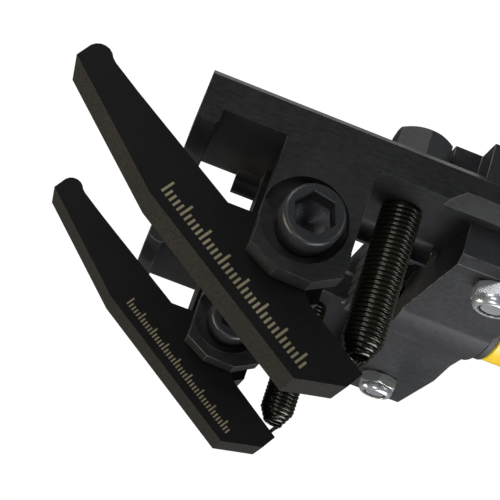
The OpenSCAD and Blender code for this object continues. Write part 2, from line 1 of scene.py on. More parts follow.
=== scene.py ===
# Hydraulic bead breaker: two hooked jaw bars in black oxide, a sprung hook arm in the clevis of
# each, cross plates held by tie bolts, and a yellow cylinder whose ram pushes a tilting foot.
# The script follows the tool as it is put together. Sizes are in millimetres until they are placed.
import math
import bmesh
import bpy
from mathutils import Matrix, Vector
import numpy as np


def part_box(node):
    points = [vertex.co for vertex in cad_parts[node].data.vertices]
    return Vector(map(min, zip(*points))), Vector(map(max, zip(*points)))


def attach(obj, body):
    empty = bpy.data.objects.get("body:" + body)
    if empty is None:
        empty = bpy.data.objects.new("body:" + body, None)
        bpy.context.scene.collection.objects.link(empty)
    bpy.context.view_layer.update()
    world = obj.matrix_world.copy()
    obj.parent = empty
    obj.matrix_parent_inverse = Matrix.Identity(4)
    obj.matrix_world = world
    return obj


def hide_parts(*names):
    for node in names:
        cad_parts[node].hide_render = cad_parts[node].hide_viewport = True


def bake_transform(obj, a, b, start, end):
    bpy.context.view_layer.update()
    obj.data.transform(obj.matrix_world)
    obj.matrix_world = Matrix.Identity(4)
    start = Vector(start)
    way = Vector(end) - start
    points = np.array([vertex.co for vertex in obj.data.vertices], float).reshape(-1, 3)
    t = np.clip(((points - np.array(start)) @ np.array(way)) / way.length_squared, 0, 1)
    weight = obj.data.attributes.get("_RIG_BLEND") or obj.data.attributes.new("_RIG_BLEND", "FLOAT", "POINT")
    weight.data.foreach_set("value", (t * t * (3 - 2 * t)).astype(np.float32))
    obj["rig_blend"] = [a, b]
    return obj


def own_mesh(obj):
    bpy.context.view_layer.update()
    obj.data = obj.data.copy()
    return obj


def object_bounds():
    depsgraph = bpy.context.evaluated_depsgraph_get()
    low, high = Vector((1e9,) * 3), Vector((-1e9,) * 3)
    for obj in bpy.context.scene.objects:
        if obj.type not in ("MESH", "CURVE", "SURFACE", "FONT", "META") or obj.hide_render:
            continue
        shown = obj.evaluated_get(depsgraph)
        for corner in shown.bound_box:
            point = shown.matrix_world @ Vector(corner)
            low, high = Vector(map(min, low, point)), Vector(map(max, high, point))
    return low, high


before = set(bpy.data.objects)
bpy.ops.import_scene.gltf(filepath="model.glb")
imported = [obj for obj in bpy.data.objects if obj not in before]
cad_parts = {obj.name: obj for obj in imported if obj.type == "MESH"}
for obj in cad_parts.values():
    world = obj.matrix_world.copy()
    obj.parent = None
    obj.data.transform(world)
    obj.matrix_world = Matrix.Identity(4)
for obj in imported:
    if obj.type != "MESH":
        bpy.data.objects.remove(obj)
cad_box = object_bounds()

MM = 0.001

# ---- Camera, light and floor ----
# The tool is seen from its near side and from below, close to the jaws. The floor can be seen
# from above only, so it doesn't hide the tool from a camera that is lower than the tool.
scene = bpy.context.scene
scene.view_settings.view_transform = "Standard"
eye = Vector((-62.1, -579.7, -192.7)) * MM
right = Vector((0.92988, -0.20236, 0.30721))
down = Vector((0.35722, 0.29718, -0.88548))
ahead = Vector((0.08789, 0.93313, 0.34863))
camera_data = bpy.data.cameras.new("camera")
camera_data.lens, camera_data.sensor_width = 90.9, 36.0
camera_data.clip_start, camera_data.clip_end = 0.01, 50.0
camera = bpy.data.objects.new("camera", camera_data)
camera.matrix_world = Matrix.Translation(eye) @ Matrix((right, -down, -ahead)).transposed().to_4x4()
scene.collection.objects.link(camera)
scene.camera = camera

looked_at = Vector((0.0, -40.0, 15.0)) * MM


def soft_light(name, sideways, upwards, towards_eye, width, height, watts, tint):
    """Area lamp placed round the point looked at, measured in metres along the camera's axes."""
    data = bpy.data.lights.new(name, "AREA")
    data.shape, data.size, data.size_y = "RECTANGLE", width, height
    data.energy, data.color = watts, tint
    lamp = bpy.data.objects.new(name, data)
    place = looked_at + right * sideways - down * upwards - ahead * towards_eye
    turn = (looked_at - place).to_track_quat("-Z", "Y").to_matrix().to_4x4()
    lamp.matrix_world = Matrix.Translation(place) @ turn
    scene.collection.objects.link(lamp)


soft_light("top_softbox", -0.35, 1.15, 0.35, 0.9, 0.6, 7.5, (1.0, 0.99, 0.97))
soft_light("warm_left_softbox", -1.25, -0.25, 0.1, 0.5, 0.9, 13.0, (1.0, 0.88, 0.70))
soft_light("low_front_softbox", -0.4, -0.6, 0.95, 0.4, 0.4, 2.6, (1.0, 0.99, 0.97))
soft_light("under_softbox", 0.25, -1.25, 0.05, 0.9, 0.7, 15.0, (0.97, 0.98, 1.0))
soft_light("right_softbox", 1.1, 0.1, 0.5, 0.5, 0.7, 3.5, (0.95, 0.97, 1.0))
soft_light("front_fill", -0.2, 0.5, 1.2, 0.5, 0.5, 2.2, (1.0, 1.0, 1.0))
soft_light("back_softbox", 0.4, 1.0, -1.3, 1.0, 0.8, 3.0, (1.0, 1.0, 1.0))

world = bpy.data.worlds.new("studio")
world.use_nodes = True
scene.world = world
sky = world.node_tree
sky.nodes.clear()
seen = sky.nodes.new("ShaderNodeBackground")
seen.inputs["Color"].default_value = (1, 1, 1, 1)
seen.inputs["Strength"].default_value = 1.05
lit = sky.nodes.new("ShaderNodeBackground")
lit.inputs["Color"].default_value = (0.93, 0.96, 1.0, 1)
lit.inputs["Strength"].default_value = 0.12
which = sky.nodes.new("ShaderNodeMixShader")
path = sky.nodes.new("ShaderNodeLightPath")
sky_out = sky.nodes.new("ShaderNodeOutputWorld")
sky.links.new(path.outputs["Is Camera Ray"], which.inputs[0])
sky.links.new(lit.outputs[0], which.inputs[1])
sky.links.new(seen.outputs[0], which.inputs[2])
sky.links.new(which.outputs[0], sky_out.inputs["Surface"])


def shade(material, kind, inputs=None, **settings):
    """Adds a shader node: inputs are values or other nodes' outputs, settings are its options."""
    made = material.node_tree.nodes.new("ShaderNode" + kind)
    for key, value in settings.items():
        setattr(made, key, value)
    for key, value in (inputs or {}).items():
        if isinstance(value, bpy.types.NodeSocket):
            material.node_tree.links.new(value, made.inputs[key])
        else:
            made.inputs[key].default_value = value
    return made


def new_material(name):
    material = bpy.data.materials.new(name)
    material.use_nodes = True
    material.node_tree.nodes.clear()
    return material


paper = new_material("studio_paper")
paper_face = shade(paper, "BsdfDiffuse", {"Color": (0.86, 0.86, 0.85, 1)})
paper_clear = shade(paper, "BsdfTransparent")
paper_side = shade(paper, "NewGeometry")
paper_mix = shade(paper, "MixShader", {0: paper_side.outputs["Backfacing"],
                                       1: paper_face.outputs[0], 2: paper_clear.outputs[0]})
shade(paper, "OutputMaterial", {"Surface": paper_mix.outputs[0]})
floor_bm = bmesh.new()
bmesh.ops.create_circle(floor_bm, cap_ends=True, segments=96, radius=6.0)
bmesh.ops.translate(floor_bm, verts=floor_bm.verts[:], vec=(0, 0, cad_box[0].z - 0.0005))
floor_mesh = bpy.data.meshes.new("floor")
floor_bm.normal_update()
if floor_bm.faces[:][0].normal.z < 0:
    bmesh.ops.reverse_faces(floor_bm, faces=floor_bm.faces[:])
floor_bm.to_mesh(floor_mesh)
floor_bm.free()
floor_mesh.materials.append(paper)
floor = bpy.data.objects.new("floor", floor_mesh)
scene.collection.objects.link(floor)
floor.visible_shadow = floor.visible_diffuse = floor.visible_glossy = False


# ---- Jaw bars ----
# Two flat bars of steel plate, milled to a hooked tooth, a recess and a clevis lug at the front.
# Black oxide over the mill marks. The corners are bright from wear where they touch the wheel, and from a
# painted highlight along every edge.
def merged_copy(node):
    """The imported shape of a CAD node, with its loose triangles joined into whole faces."""
    bm = bmesh.new()
    bm.from_mesh(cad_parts[node].data)
    bmesh.ops.remove_doubles(bm, verts=bm.verts[:], dist=2e-6)
    bmesh.ops.dissolve_degenerate(bm, edges=bm.edges[:], dist=1e-6)
    bmesh.ops.dissolve_limit(bm, angle_limit=math.radians(0.4), use_dissolve_boundaries=False,
                             verts=bm.verts[:], edges=bm.edges[:])
    return bm


def break_corners(bm, width, segments=2, sharper_than=24):
    """Rounds every sharp corner a little, and marks the new faces for a corner colour that is wear and a
    painted edge highlight.
    """
    wear_and_sheen = bm.faces.layers.float.get("wear_and_sheen") or bm.faces.layers.float.new("wear_and_sheen")
    sharp = [e for e in bm.edges
             if e.is_manifold and e.calc_face_angle() > math.radians(sharper_than)]
    made = bmesh.ops.bevel(bm, geom=sharp, offset=width * MM, offset_type="OFFSET",
                           segments=segments, profile=0.5, affect="EDGES",
                           clamp_overlap=True, material=-1)
    for face in made["faces"]:
        face[wear_and_sheen] = 1.0


def finished(bm, name, material, body, stands_for=(), smooth_under=38):
    """Turns a bmesh into a piece that rides on a body and stands for CAD nodes."""
    for face in bm.faces:
        face.smooth = True
    mesh = bpy.data.meshes.new(name)
    bm.to_mesh(mesh)
    bm.free()
    mesh.set_sharp_from_angle(angle=math.radians(smooth_under))
    mesh.materials.append(material)
    piece = bpy.data.objects.new(name, mesh)
    scene.collection.objects.link(piece)
    flat = piece.modifiers.new("even_shading", "WEIGHTED_NORMAL")
    flat.keep_sharp, flat.weight = True, 60
    if body:
        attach(piece, body)
    if stands_for:
        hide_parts(*stands_for)
    return piece


def cornered(node, name, width, material, body, sharper_than=24):
    """A CAD node's own shape with its corners rounded, as a piece in the node's place."""
    bm = merged_copy(node)
    break_corners(bm, width, sharper_than=sharper_than)
    return finished(bm, name, material, body, [node])


def metal(name, dark, light, wear_and_sheen, rough, metallic, grain=(1, 1, 1), grain_size=900.0,
          relief=0.25, patch_size=28.0, wear_and_sheen_strength=0.8, gloss=0.5, rough_spread=0.1, wear_and_sheen_size=160.0):
    """Metal finish: soft patches between two tones, a fine grain that can be drawn out along
    an axis, a corner colour on broken corners that is wear and a painted edge highlight, and roughness and
    relief that follow the grain."""
    material = new_material(name)
    place = shade(material, "TexCoord").outputs["Object"]
    patches = shade(material, "TexNoise", {"Vector": place, "Scale": patch_size, "Detail": 6.0,
                                           "Roughness": 0.6}).outputs[0]
    drawn = shade(material, "Mapping", {"Vector": place, "Scale": grain}).outputs[0]
    fine = shade(material, "TexNoise", {"Vector": drawn, "Scale": grain_size, "Detail": 4.0,
                                        "Roughness": 0.65}).outputs[0]
    specks = shade(material, "TexVoronoi", {"Vector": place, "Scale": 420.0}).outputs["Distance"]
    dust = shade(material, "MapRange", {"Value": specks, "From Min": 0.1, "From Max": 0.0}).outputs[0]
    both = shade(material, "Math", {0: patches, 1: fine}, operation="ADD").outputs[0]
    tone = shade(material, "MapRange", {"Value": both, "From Min": 0.72,
                                        "From Max": 1.28}).outputs[0]
    body_tone = shade(material, "Mix", {"Factor": tone, 6: (*dark, 1), 7: (*light, 1)},
                      data_type="RGBA").outputs[2]
    # Corners take the corner colour: wear, and on the black bars and arms also a painted edge highlight.
    marked = shade(material, "Attribute", attribute_name="wear_and_sheen").outputs["Fac"]
    wear_and_sheen_noise = shade(material, "TexNoise", {"Vector": place, "Scale": wear_and_sheen_size, "Detail": 5.0}).outputs[0]
    where = shade(material, "MapRange", {"Value": wear_and_sheen_noise, "From Min": 0.38,
                                         "From Max": 0.62}).outputs[0]
    share = shade(material, "Math", {0: marked, 1: where}, operation="MULTIPLY").outputs[0]
    kept = shade(material, "Math", {0: share, 1: wear_and_sheen_strength}, operation="MULTIPLY").outputs[0]
    dusty = shade(material, "Math", {0: dust, 1: 0.10}, operation="MULTIPLY").outputs[0]
    most = shade(material, "Math", {0: kept, 1: dusty}, operation="MAXIMUM").outputs[0]
    colour = shade(material, "Mix", {"Factor": most, 6: body_tone, 7: (*wear_and_sheen, 1)},
                   data_type="RGBA").outputs[2]
    roughness = shade(material, "MapRange", {"Value": both, "From Min": 0.6, "From Max": 1.4,
                                             "To Min": rough - rough_spread,
                                             "To Max": rough + rough_spread}).outputs[0]
    bump = shade(material, "Bump", {"Height": fine, "Strength": relief,
                                    "Distance": 0.0002}).outputs[0]
    surface = shade(material, "BsdfPrincipled", {"Base Color": colour, "Metallic": metallic,
                                                 "Roughness": roughness, "Normal": bump,
                                                 "Specular IOR Level": gloss})
    shade(material, "OutputMaterial", {"Surface": surface.outputs[0]})
    return material


# The pale corner colour is edge wear and a painted highlight along the bar's edges.
bar_black = metal("bar_black_oxide", (0.015, 0.0155, 0.016), (0.032, 0.0325, 0.033),
                  (0.30, 0.29, 0.26), rough=0.44, metallic=0.35, grain=(0.25, 1, 1), relief=0.3,
                  gloss=0.4, wear_and_sheen_size=90.0)
for side in ("near", "far"):
    cornered(f"{side}_jaw_bar", f"{side}_jaw_bar_milled", 0.8, bar_black, "frame")

# ---- Hook arms ----
# Each arm is sawn from one-inch plate, ground on its faces and blackened. The sawn edges keep
# cross marks and a lighter, browner tone, partly their finish and partly painted light from the
# low left, and the corners have a narrow ground chamfer.
arm_black = metal("arm_black_oxide", (0.0055, 0.0055, 0.0055), (0.0088, 0.0088, 0.0085),
                  (0.075, 0.066, 0.048), rough=0.52, metallic=0.1, grain=(1, 0.12, 1),
                  grain_size=1400.0, relief=0.22, gloss=0.14, wear_and_sheen_strength=0.6,
                  wear_and_sheen_size=1100.0)
for side in ("near", "far"):
    arm = merged_copy(f"{side}_arm")
    break_corners(arm, 0.7)
    wear_and_sheen = arm.faces.layers.float["wear_and_sheen"]
    arm.normal_update()
    # The side faces take part of the corner colour: their sawn finish, and painted light from the low left.
    for face in arm.faces:
        if abs(face.normal.y) < 0.3:
            face[wear_and_sheen] = 0.55
    finished(arm, f"{side}_arm_ground", arm_black, f"{side}_arm",
             [f"{side}_arm"])

# ---- Etched scale on the arms ----
# A plain row of graduation ticks, etched through the black to the pale brass-coloured steel
# along the lower half of each arm's outer face. It holds no letters or numbers.
etched = metal("etched_scale", (0.20, 0.165, 0.10), (0.36, 0.31, 0.20), (0.4, 0.35, 0.24),
               rough=0.5, metallic=0.3, grain_size=2500.0, relief=0.1, wear_and_sheen_strength=0.0)
edge_start = Vector((-63.1, 0, -7.4))
edge_along = Vector((0.838, 0, -0.546))
edge_up = Vector((0.546, 0, 0.838))


def scale_ticks(side, face_y, first, last, pitch, short, tall, thick, name):
    bm = bmesh.new()
    count = int((last - first) / pitch) + 1
    for i in range(count):
        height = tall if i % 5 == 0 else short
        middle = (edge_start + edge_along * (first + i * pitch)
                  + edge_up * (4.4 + height / 2) + Vector((0, face_y + 0.06, 0)))
        turn = Matrix((edge_along, Vector((0, 1, 0)), edge_up)).transposed().to_4x4()
        size = Matrix.Diagonal((thick, 0.2, height, 1))
        bmesh.ops.create_cube(bm, size=MM, matrix=Matrix.Translation(middle * MM) @ turn @ size)
    break_corners(bm, 0.05, segments=1)
    finished(bm, name, etched, side)


near_arm_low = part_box("near_arm")[0] / MM
far_arm_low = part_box("far_arm")[0] / MM
arm_t = 25.0
scale_ticks("near_arm", near_arm_low.y, 2.0, 92.0, 2.5, 3.8, 6.4, 1.15, "near_arm_scale")
scale_ticks("far_arm", far_arm_low.y, 8.0, 92.0, 2.0, 3.0, 5.0, 0.9, "far_arm_scale")

# ---- Bushes and thrust washers ----
# Plain bronze bushes pressed into the arms, with a bronze washer on each side to take the
# clevis cheeks. They are turned, so the CAD shapes are already right.
bearing_bronze = metal("bearing_bronze", (0.30, 0.19, 0.075), (0.42, 0.28, 0.12),
                       (0.5, 0.36, 0.18), rough=0.36, metallic=0.9, grain_size=1500.0)


def coated(material, *nodes):
    """Gives the CAD shapes of these nodes another finish."""
    for node in nodes:
        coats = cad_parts[node].data.materials
        coats.clear()
        coats.append(material)


coated(bearing_bronze, "near_pivot_bush", "far_pivot_bush", "near_thrust_washers",
       "far_thrust_washers")

# ---- Pivot screws ----
# M18 socket head screws, blackened and slightly oiled: knurled head, broached hexagon with a
# drilled bottom, rolled thread at the back where the nut sits.
ACROSS, UPWARD, SIDEWAYS = Vector((0, 1, 0)), Vector((0, 0, 1)), Vector((1, 0, 0))
smallest_flat = 0.02


def edges_of(verts):
    """All edges that meet these vertices, each once and always in the same order."""
    return list(dict.fromkeys(e for v in verts for e in v.link_edges))


def lofted(bm, at, axis, side, rings, points=96, tube=False):
    """Draws a shape out along an axis through rings of points. A ring is (distance along the
    axis, radius), or a function that gives both for point number k. A tube ends on its first
    ring, and anything else is capped. A radius of 0 becomes a tiny flat that closes the end."""
    at, axis, side = Vector(at) * MM, Vector(axis).normalized(), Vector(side).normalized()
    third = axis.cross(side)

    def place(vert, ring):
        out = vert.co - at
        k = round(math.atan2(out.dot(third), out.dot(side)) / math.tau * points) % points
        along, radius = ring(k) if callable(ring) else ring
        radius = max(radius, smallest_flat)
        turn = math.tau * k / points
        vert.co = at + (axis * along + (side * math.cos(turn) + third * math.sin(turn)) * radius) * MM

    basis = Matrix.Translation(at) @ Matrix((side, third, axis)).transposed().to_4x4()
    verts = bmesh.ops.create_circle(bm, cap_ends=False, segments=points, radius=MM,
                                    matrix=basis)["verts"]
    made_verts = list(verts)
    edges = edges_of(verts)
    for v in verts:
        place(v, rings[0])
    if not tube:
        bmesh.ops.contextual_create(bm, geom=edges)
    for ring in rings[1:] + (rings[:1] if tube else []):
        grown = bmesh.ops.extrude_edge_only(bm, edges=edges)["geom"]
        verts = [g for g in grown if isinstance(g, bmesh.types.BMVert)]
        on_ring = set(verts)
        edges = [e for e in edges_of(verts) if e.verts[0] in on_ring and e.verts[1] in on_ring]
        for v in verts:
            place(v, ring)
        made_verts += verts
    if not tube:
        bmesh.ops.contextual_create(bm, geom=edges)
    bmesh.ops.remove_doubles(bm, verts=made_verts, dist=1e-7)
    bmesh.ops.recalc_face_normals(bm, faces=bm.faces[:])


def hexagon(flats, points=96):
    """Radius of a hexagon at point k, with corners at k = 0 and every sixth of a turn."""
    return lambda k: flats / 2 / math.cos(math.radians(k * 360 / points % 60 - 30))


def hex_rings(flats, start, end, cut_start=True, cut_end=True, points=96):
    """Rings of a hexagonal prism whose corners are turned off at 30 degrees."""
    radius, ring_r = hexagon(flats, points), flats / 2 * 0.975
    drop = lambda k: (radius(k) - ring_r) * 0.577 * (1 if end > start else -1)
    rings = [(start, ring_r)] if cut_start else []
    rings.append(lambda k: (start + (drop(k) if cut_start else 0), radius(k)))
    rings.append(lambda k: (end - (drop(k) if cut_end else 0), radius(k)))
    return rings + ([(end, ring_r)] if cut_end else [])


def thread_rings(start, end, radius, pitch):
    """Ridges of a screw thread, as rings at half the pitch, with a chamfer at the far end."""
    step = pitch / 2 * (1 if end > start else -1)
    count = int((end - start) / step) - 1
    rings = [(start + i * step, radius - (0.3 * pitch if i % 2 else 0.0)) for i in range(count)]
    return rings + [(end - step, radius - 0.25 * pitch), (end, radius - 0.55 * pitch)]


screw_black = metal("screw_black_oxide", (0.024, 0.025, 0.027), (0.044, 0.046, 0.05),
                    (0.14, 0.14, 0.14), rough=0.38, metallic=0.45, grain_size=1600.0, relief=0.15)
head_points = 192
head_h, head_r, pivot_r, pivot_pitch, thread_len = 17.5, 13.2, 9.0, 2.5, 22.0
socket, socket_mouth = hexagon(15.9, head_points), hexagon(16.6, head_points)
socket_turn = math.radians(49.5)
for side in ("near", "far"):
    low, high = (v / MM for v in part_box(f"{side}_pivot_screw"))
    length = high.y - low.y
    knurl = lambda along: (lambda k: (along, head_r - 0.34 * (k % 2)))
    rings = [(12.2, 0.0), (8.9, 6.2), (8.7, 7.4), lambda k: (8.4, socket(k)),
             lambda k: (0.4, socket(k)), lambda k: (0.0, socket_mouth(k)), (0.0, 11.3), (0.2, 11.9),
             (0.7, 12.5), (1.3, 12.85), (2.0, 13.0), (2.4, 13.1), knurl(2.8),
             knurl(head_h - 0.9), (head_h - 0.7, 13.0), (head_h, 12.6), (head_h, pivot_r + 0.3),
             (head_h + 0.4, pivot_r), (length - thread_len, pivot_r)]
    rings += thread_rings(length - thread_len + 0.5, length, pivot_r, pivot_pitch)
    bm = bmesh.new()
    lofted(bm, (0, low.y, 0), ACROSS, (math.cos(socket_turn), 0, math.sin(socket_turn)), rings,
           head_points)
    finished(bm, f"{side}_pivot_screw_knurled", screw_black, "frame",
             [f"{side}_pivot_screw"])

# ---- Nuts and washers on the pivot screws ----
# Zinc-plated M18 nuts on plain washers, run up the pivot screws against the back face of each
# jaw. The nuts are cut from hexagonal bar, with their corners turned off on both faces.
zinc = metal("zinc_plate", (0.68, 0.71, 0.74), (0.84, 0.87, 0.90), (0.88, 0.9, 0.92),
             rough=0.25, metallic=0.78, grain_size=1800.0, relief=0.02, rough_spread=0.04)
washer_t, pivot_nut_flats, pivot_nut_h = 2.5, 27.0, 15.0
pivot_nut_top = washer_t + pivot_nut_h
for node in ("pivot_nut_washers", "pivot_nuts"):
    bm = bmesh.new()
    for side in ("near", "far"):
        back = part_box(f"{side}_jaw_bar")[1].y / MM
        if node == "pivot_nuts":
            rings = [(washer_t, 10.0), *hex_rings(pivot_nut_flats, washer_t, pivot_nut_top),
                     (pivot_nut_top, 10.3), (pivot_nut_top - 1, 9.05), (washer_t + 1, 9.05)]
        else:
            rings = [(0.0, 9.4), (0.0, 16.6), (0.4, 17.0), (washer_t - 0.4, 17.0),
                     (washer_t, 16.6), (washer_t, 9.4)]
        lofted(bm, (0, back, 0), ACROSS, UPWARD, rings, tube=True)
    finished(bm, f"{node}_zinc", zinc, "frame", [node])

# ---- Arm springs ----
# Close-wound extension springs of oiled black wire. The top coils grip the anchor bolt's shank,
# and the bottom ones draw in and run out into a loop round the pin in the arm's tail.
spring_wire = metal("oiled_spring_wire", (0.012, 0.012, 0.007), (0.035, 0.034, 0.022),
                    (0.1, 0.1, 0.1), rough=0.17, metallic=0.6, grain_size=700.0, relief=0.06,
                    rough_spread=0.07, gloss=0.8)
wire_r, coil_r, coil_pitch = 1.04, 8.15, 2.14
coil_x, coil_bottom, coil_turns = 40.3, -37.6, 32.0
pin_x, pin_z, pin_r, loop_r = 36.4, -48.8, 1.75, 2.85
drawn_in, drawn_in_turns = 4.0, 3.4


def wound(bm, wire_r, start, turn, centre, axis, turns, rise, steps):
    """Sweeps a round wire from its start round an axis that it rises along, and shuts its ends.
    The turn lays the wire's first ring square to its path."""
    wire = bmesh.ops.create_circle(bm, cap_ends=False, segments=10, radius=wire_r * MM,
                                   matrix=Matrix.Translation(Vector(start) * MM) @ turn)["verts"]
    bmesh.ops.spin(bm, geom=wire + edges_of(wire), cent=Vector(centre) * MM, axis=axis,
                   dvec=axis * (rise / steps * MM), angle=turns * math.tau, steps=steps,
                   use_merge=False)
    bmesh.ops.holes_fill(bm, edges=[e for e in bm.edges if e.is_boundary], sides=0)


for side, low in (("near", near_arm_low), ("far", far_arm_low)):
    middle = low.y + arm_t / 2
    bm = bmesh.new()
    wound(bm, wire_r, (coil_x + coil_r, middle, coil_bottom),
          Matrix.Rotation(math.radians(90), 4, "X"), (coil_x, middle, 0), UPWARD, coil_turns,
          coil_pitch * coil_turns, int(coil_turns * 28))
    for vert in bm.verts:
        out = Vector((vert.co.x - coil_x * MM, vert.co.y - middle * MM, 0))
        share = 1 - (vert.co.z / MM - coil_bottom) / (drawn_in_turns * coil_pitch)
        vert.co -= out.normalized() * drawn_in * min(1.0, max(0.0, share)) * MM
    loop = bpy.data.curves.new("spring_loop", "CURVE")
    loop.dimensions, loop.bevel_depth, loop.bevel_resolution = "3D", wire_r * MM, 3
    loop.use_fill_caps = True
    spots = [(coil_x + coil_r - drawn_in, middle, coil_bottom), (43.9, middle - 1.6, -38.2),
             (42.4, middle - 2.5, -39.5), (40.6, middle - 1.9, -41.8), (39.5, middle - 0.6, -44.4)]
    spots += [(pin_x + loop_r * math.cos(math.radians(a)), middle,
               pin_z + loop_r * math.sin(math.radians(a))) for a in range(20, -281, -25)]
    line = loop.splines.new("NURBS")
    line.points.add(len(spots) - 1)
    for point, spot in zip(line.points, spots):
        point.co = (*(Vector(spot) * MM), 1.0)
    line.order_u, line.use_endpoint_u, line.resolution_u = 3, True, 6
    loop_object = bpy.data.objects.new("spring_loop", loop)
    scene.collection.objects.link(loop_object)
    loop_mesh = bpy.data.meshes.new_from_object(loop_object)
    bm.from_mesh(loop_mesh)
    bpy.data.objects.remove(loop_object)
    bpy.data.meshes.remove(loop_mesh)
    bmesh.ops.remove_doubles(bm, verts=bm.verts[:], dist=1e-7)
    bmesh.ops.recalc_face_normals(bm, faces=bm.faces[:])
    spring = finished(bm, f"{side}_arm_spring_coil", spring_wire, None,
                      [f"{side}_arm_spring"], smooth_under=70)
    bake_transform(spring, "frame", f"{side}_arm", start=(coil_x * MM, middle * MM, 0.018),
             end=(coil_x * MM, middle * MM, -0.040))

# ---- Pins for the spring loops ----
# Short zinc-plated pins, pressed across the slot in each arm's tail with their ends chamfered.
# The loop at the bottom of the spring goes round the middle of the pin.
for side, low in (("near", near_arm_low), ("far", far_arm_low)):
    bm = bmesh.new()
    lofted(bm, (pin_x, low.y, pin_z), ACROSS, UPWARD,
           [(4.0, 1.4), (4.3, pin_r), (arm_t - 0.4, pin_r), (arm_t, 1.4)], points=32)
    finished(bm, f"{side}_spring_pin_zinc", zinc, f"{side}_arm",
             [f"{side}_spring_pin"])

# ---- Spring anchor bolts ----
# Hex bolts through the bars, black oxide, with a hardened washer under the head. The shank
# reaches below the bar and fills the first coils of the spring.
bar_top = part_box("near_jaw_bar")[1].z / MM
washer_top = bar_top + washer_t
anchor_flats, anchor_r, anchor_pitch = 24.0, 7.0, 2.0
for side in ("near", "far"):
    low, high = (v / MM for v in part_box(f"{side}_anchor_bolt"))
    middle = (low.y + high.y) / 2
    rings = [(high.z, 0.0), *hex_rings(anchor_flats, high.z, washer_top + 0.6, cut_end=False),
             (washer_top + 0.6, 11.4), (washer_top, 11.4), (washer_top, anchor_r + 0.4),
             (washer_top - 0.5, anchor_r), (low.z + 12, anchor_r),
             *thread_rings(low.z + 11.5, low.z, anchor_r, anchor_pitch)]
    turned = Vector((math.cos(math.radians(30)), math.sin(math.radians(30)), 0))
    bm = bmesh.new()
    lofted(bm, (coil_x, middle, 0), UPWARD, turned, rings)
    finished(bm, f"{side}_anchor_bolt_hex", bar_black, "frame",
             [f"{side}_anchor_bolt"])


def washer_rings(bottom, thick, outer, inner):
    """Closed section of a flat washer with its outer corners broken."""
    return [(bottom, inner), (bottom, outer - 0.35), (bottom + 0.3, outer),
            (bottom + thick - 0.3, outer), (bottom + thick, outer - 0.35), (bottom + thick, inner)]


bm = bmesh.new()
for low in (near_arm_low, far_arm_low):
    lofted(bm, (coil_x, low.y + arm_t / 2, 0), UPWARD, SIDEWAYS,
           washer_rings(bar_top, washer_t, 13.4, anchor_r + 0.3), tube=True)
finished(bm, "anchor_washers_hardened", bar_black, "frame",
         ["anchor_washers"])

# ---- Cross plates ----
# Two milled plates and a block between the bars tie the jaws together behind the pivots, and are
# bored as one for the ram's guide and the cylinder's collar. Black oxide, coarser mill marks.
plate_black = metal("plate_black_oxide", (0.018, 0.019, 0.021), (0.034, 0.035, 0.038),
                    (0.15, 0.145, 0.13), rough=0.48, metallic=0.3, grain=(1, 0.3, 1),
                    grain_size=700.0, relief=0.3)
for node in ("top_plate", "bottom_plate", "centre_block"):
    cornered(node, f"{node}_milled", 0.6, plate_black, "frame")

# ---- Tie bolts ----
# Two dull zinc-plated M12 hex bolts hold the plates to the bars, with washers under their heads.
# Below are bright self-locking nuts, whose domed collars close over nylon round the bolts' ends.
dull_zinc = metal("dull_zinc_plate", (0.24, 0.25, 0.26), (0.33, 0.34, 0.35), (0.5, 0.5, 0.5),
                  rough=0.46, metallic=0.5, grain_size=1800.0, relief=0.1)
tie_flats, tie_r, tie_pitch, tie_nut_h, tie_head_h = 19.0, 6.0, 1.75, 10.6, 8.0
tie_box = [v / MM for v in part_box("tie_bolts")]
nut_box = [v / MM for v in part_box("tie_nuts")]
tie_x = (tie_box[0].x + tie_box[1].x) / 2
far_seat, near_seat = nut_box[0].z + tie_nut_h, nut_box[1].z
tie_places = [(tie_x, tie_box[0].y + tie_flats / 2, near_seat),
              (tie_x, tie_box[1].y - tie_flats / 2, far_seat)]
bolt_top = tie_box[1].z
head_under = bolt_top - tie_head_h
bolts, washers_above, nuts, inserts = (bmesh.new() for _ in range(4))
for number, (x, y, seat) in enumerate(tie_places):
    turned = Vector((math.cos(0.4 + number), math.sin(0.4 + number), 0))
    rings = [(bolt_top - 0.5, 0.0), (bolt_top - 0.5, 5.6), (bolt_top, 6.2),
             *hex_rings(tie_flats, bolt_top, head_under + 0.5, cut_end=False),
             (head_under + 0.5, 8.6), (head_under, 8.6), (head_under, tie_r),
             (seat - 0.4, tie_r), *thread_rings(seat - 0.8, seat - 9.8, tie_r, tie_pitch)]
    lofted(bolts, (x, y, 0), UPWARD, turned, rings)
    lofted(washers_above, (x, y, 0), UPWARD, SIDEWAYS,
           washer_rings(head_under - washer_t, washer_t, 12.0, tie_r + 0.5), tube=True)
    nut = [(seat, 6.1), (seat, 8.8), *hex_rings(tie_flats, seat, seat - 6.4), (seat - 6.5, 9.4),
           (seat - 7.4, 9.5), (seat - 8.4, 9.35), (seat - 9.3, 8.95), (seat - 10.0, 8.35),
           (seat - 10.45, 7.7), (seat - tie_nut_h, 7.1), (seat - 10.5, 6.7), (seat - 10.1, 6.5),
           (seat - 7.4, 6.5), (seat - 7.4, 6.1)]
    lofted(nuts, (x, y, 0), UPWARD, turned, nut, tube=True)
    lofted(inserts, (x, y, 0), UPWARD, turned,
           [(seat - 7.5, 6.05), (seat - 7.5, 6.45), (seat - 10.0, 6.45), (seat - 10.1, 6.05)],
           points=64, tube=True)
finished(bolts, "tie_bolts_hex", dull_zinc, "frame", ["tie_bolts"])
finished(washers_above, "tie_bolt_washers_zinc", zinc, "frame",
         ["tie_bolt_washers"])
finished(nuts, "tie_nuts_zinc", zinc, "frame", ["tie_nuts"])
nylon = metal("nylon_insert", (0.06, 0.065, 0.07), (0.09, 0.095, 0.1), (0.12, 0.12, 0.12),
              rough=0.45, metallic=0.0, wear_and_sheen_strength=0.0)
finished(inserts, "tie_nut_inserts", nylon, "frame")

